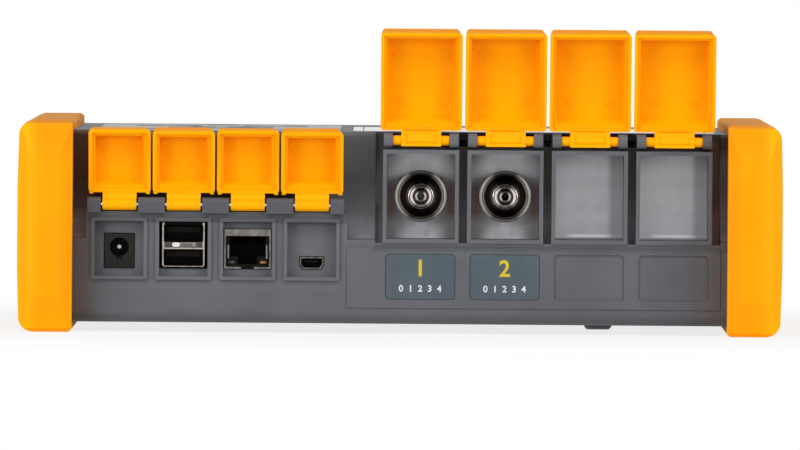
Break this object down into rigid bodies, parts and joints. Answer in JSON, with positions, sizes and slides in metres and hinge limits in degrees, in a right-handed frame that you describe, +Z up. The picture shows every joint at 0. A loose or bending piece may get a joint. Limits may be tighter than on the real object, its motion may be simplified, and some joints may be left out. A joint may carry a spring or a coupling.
{
  "type": "optical time domain reflectometer",
  "caption": "Handheld optical fibre tester with end guards, hinged socket covers, fibre adapters, screen, keypad and folding stand.",
  "frame": {"origin": "middle of the ground plane under the two end guards, with the instrument lying on its back", "axes": "+X along the long side towards the optical sockets, -Y out of the connector end, +Z up through the screen"},
  "size_m": [0.253, 0.168, 0.1011],
  "materials": {
    "housing_plastic": "fine spark texture",
    "soft_guard": "smooth moulded",
    "cap_plastic": "smooth moulded",
    "steel": "bright",
    "black_plastic": "moulded",
    "stand_plastic": "moulded",
    "tinned_shield": "tin plated",
    "gold_contact": "gold flash",
    "nickel": "nickel plated",
    "ceramic_sleeve": "fired ceramic",
    "panel_plate": "satin grey",
    "glass": "anti-glare",
    "seal": "foam",
    "display_black": "display stack",
    "overlay_film": "textured film",
    "silicone": "translucent",
    "board": "solder mask",
    "lamp_lens": "clear moulded",
    "module_case": "die cast",
    "fibre_jacket": "extruded",
    "battery_wrap": "shrink film",
    "key_rubber": "moulded"
  },
  "bodies": {
    "instrument": {"adapter_nuts": "nickel", "adapter_plates": "panel_plate", "adapter_sleeves": "ceramic_sleeve", "battery_cover": "housing_plastic", "battery_cover_screws": "steel", "battery_pack": "battery_wrap", "blanking_plates": "panel_plate", "board_screws": "steel", "buzzer": "black_plastic", "cap_hinge_pins": "steel", "case_screws": "steel", "display_gasket": "seal", "display_glass": "glass", "display_panel": "display_black", "fault_laser": "module_case", "fault_laser_adapter": "nickel", "fibre_pigtail": "fibre_jacket", "front_shell": "housing_plastic", "key_mat": "silicone", "keypad_board": "board", "keypad_overlay": "overlay_film", "kickstand_pin": "steel", "left_bumper": "soft_guard", "main_board": "board", "mini_usb_shell": "tinned_shield", "mini_usb_tongue": "black_plastic", "network_contacts": "gold_contact", "network_insert": "black_plastic", "network_shield": "tinned_shield", "optical_module": "module_case", "optical_panel": "housing_plastic", "power_jack": "black_plastic", "power_jack_pin": "steel", "rear_shell": "housing_plastic", "right_bumper": "soft_guard", "socket_panel": "housing_plastic", "status_lamps": "lamp_lens", "test_port_adapter": "nickel", "usb_shell": "tinned_shield", "usb_tongues": "black_plastic"},
    "power_cap_body": {"power_cap": "cap_plastic"},
    "usb_cap_body": {"usb_cap": "cap_plastic"},
    "network_cap_body": {"network_cap": "cap_plastic"},
    "mini_usb_cap_body": {"mini_usb_cap": "cap_plastic"},
    "fault_laser_cap_body": {"fault_laser_cap": "cap_plastic"},
    "test_port_cap_body": {"test_port_cap": "cap_plastic"},
    "spare_cap_1_body": {"spare_cap_1": "cap_plastic"},
    "spare_cap_2_body": {"spare_cap_2": "cap_plastic"},
    "kickstand_body": {"kickstand": "stand_plastic"},
    "down_key_body": {"down_key": "key_rubber"},
    "enter_key_body": {"enter_key": "key_rubber"},
    "escape_key_body": {"escape_key": "key_rubber"},
    "file_key_body": {"file_key": "key_rubber"},
    "left_key_body": {"left_key": "key_rubber"},
    "menu_key_body": {"menu_key": "key_rubber"},
    "power_key_body": {"power_key": "key_rubber"},
    "right_key_body": {"right_key": "key_rubber"},
    "start_key_body": {"start_key": "key_rubber"},
    "up_key_body": {"up_key": "key_rubber"}
  },
  "joints": [
    {"name": "power_cap_hinge", "type": "hinge", "parent": "instrument", "child": "power_cap_body", "pos_m": [-0.0929, -0.0742, 0.0422], "axis": [1, 0, 0], "range_deg": [-5, 168]},
    {"name": "usb_cap_hinge", "type": "hinge", "parent": "instrument", "child": "usb_cap_body", "pos_m": [-0.07166, -0.0742, 0.0422], "axis": [1, 0, 0], "range_deg": [-5, 164]},
    {"name": "network_cap_hinge", "type": "hinge", "parent": "instrument", "child": "network_cap_body", "pos_m": [-0.05042, -0.0742, 0.0422], "axis": [1, 0, 0], "range_deg": [-5, 168]},
    {"name": "mini_usb_cap_hinge", "type": "hinge", "parent": "instrument", "child": "mini_usb_cap_body", "pos_m": [-0.02918, -0.0742, 0.0422], "axis": [1, 0, 0], "range_deg": [-5, 163]},
    {"name": "fault_laser_cap_hinge", "type": "hinge", "parent": "instrument", "child": "fault_laser_cap_body", "pos_m": [0.00682, -0.0736, 0.0641], "axis": [1, 0, 0], "range_deg": [-5, 165]},
    {"name": "test_port_cap_hinge", "type": "hinge", "parent": "instrument", "child": "test_port_cap_body", "pos_m": [0.03476, -0.0736, 0.0641], "axis": [1, 0, 0], "range_deg": [-5, 165]},
    {"name": "spare_cap_1_hinge", "type": "hinge", "parent": "instrument", "child": "spare_cap_1_body", "pos_m": [0.0627, -0.0736, 0.0641], "axis": [1, 0, 0], "range_deg": [-5, 165]},
    {"name": "spare_cap_2_hinge", "type": "hinge", "parent": "instrument", "child": "spare_cap_2_body", "pos_m": [0.09064, -0.0736, 0.0641], "axis": [1, 0, 0], "range_deg": [-5, 165]},
    {"name": "kickstand_hinge", "type": "hinge", "parent": "instrument", "child": "kickstand_body", "pos_m": [0.0664, -0.03, 0.0052], "axis": [1, 0, 0], "range_deg": [-80, 0]},
    {"name": "down_key_press", "type": "slide", "parent": "instrument", "child": "down_key_body", "axis": [0, 0, -1], "range_m": [0, 0.0005], "stiffness_N_per_m": 1500, "springref_m": -0.0003},
    {"name": "enter_key_press", "type": "slide", "parent": "instrument", "child": "enter_key_body", "axis": [0, 0, -1], "range_m": [0, 0.0005], "stiffness_N_per_m": 1500, "springref_m": -0.0003},
    {"name": "escape_key_press", "type": "slide", "parent": "instrument", "child": "escape_key_body", "axis": [0, 0, -1], "range_m": [0, 0.0005], "stiffness_N_per_m": 1500, "springref_m": -0.0003},
    {"name": "file_key_press", "type": "slide", "parent": "instrument", "child": "file_key_body", "axis": [0, 0, -1], "range_m": [0, 0.0005], "stiffness_N_per_m": 1500, "springref_m": -0.0003},
    {"name": "left_key_press", "type": "slide", "parent": "instrument", "child": "left_key_body", "axis": [0, 0, -1], "range_m": [0, 0.0005], "stiffness_N_per_m": 1500, "springref_m": -0.0003},
    {"name": "menu_key_press", "type": "slide", "parent": "instrument", "child": "menu_key_body", "axis": [0, 0, -1], "range_m": [0, 0.0005], "stiffness_N_per_m": 1500, "springref_m": -0.0003},
    {"name": "power_key_press", "type": "slide", "parent": "instrument", "child": "power_key_body", "axis": [0, 0, -1], "range_m": [0, 0.0005], "stiffness_N_per_m": 1500, "springref_m": -0.0003},
    {"name": "right_key_press", "type": "slide", "parent": "instrument", "child": "right_key_body", "axis": [0, 0, -1], "range_m": [0, 0.0005], "stiffness_N_per_m": 1500, "springref_m": -0.0003},
    {"name": "start_key_press", "type": "slide", "parent": "instrument", "child": "start_key_body", "axis": [0, 0, -1], "range_m": [0, 0.0005], "stiffness_N_per_m": 1500, "springref_m": -0.0003},
    {"name": "up_key_press", "type": "slide", "parent": "instrument", "child": "up_key_body", "axis": [0, 0, -1], "range_m": [0, 0.0005], "stiffness_N_per_m": 1500, "springref_m": -0.0003}
  ]
}
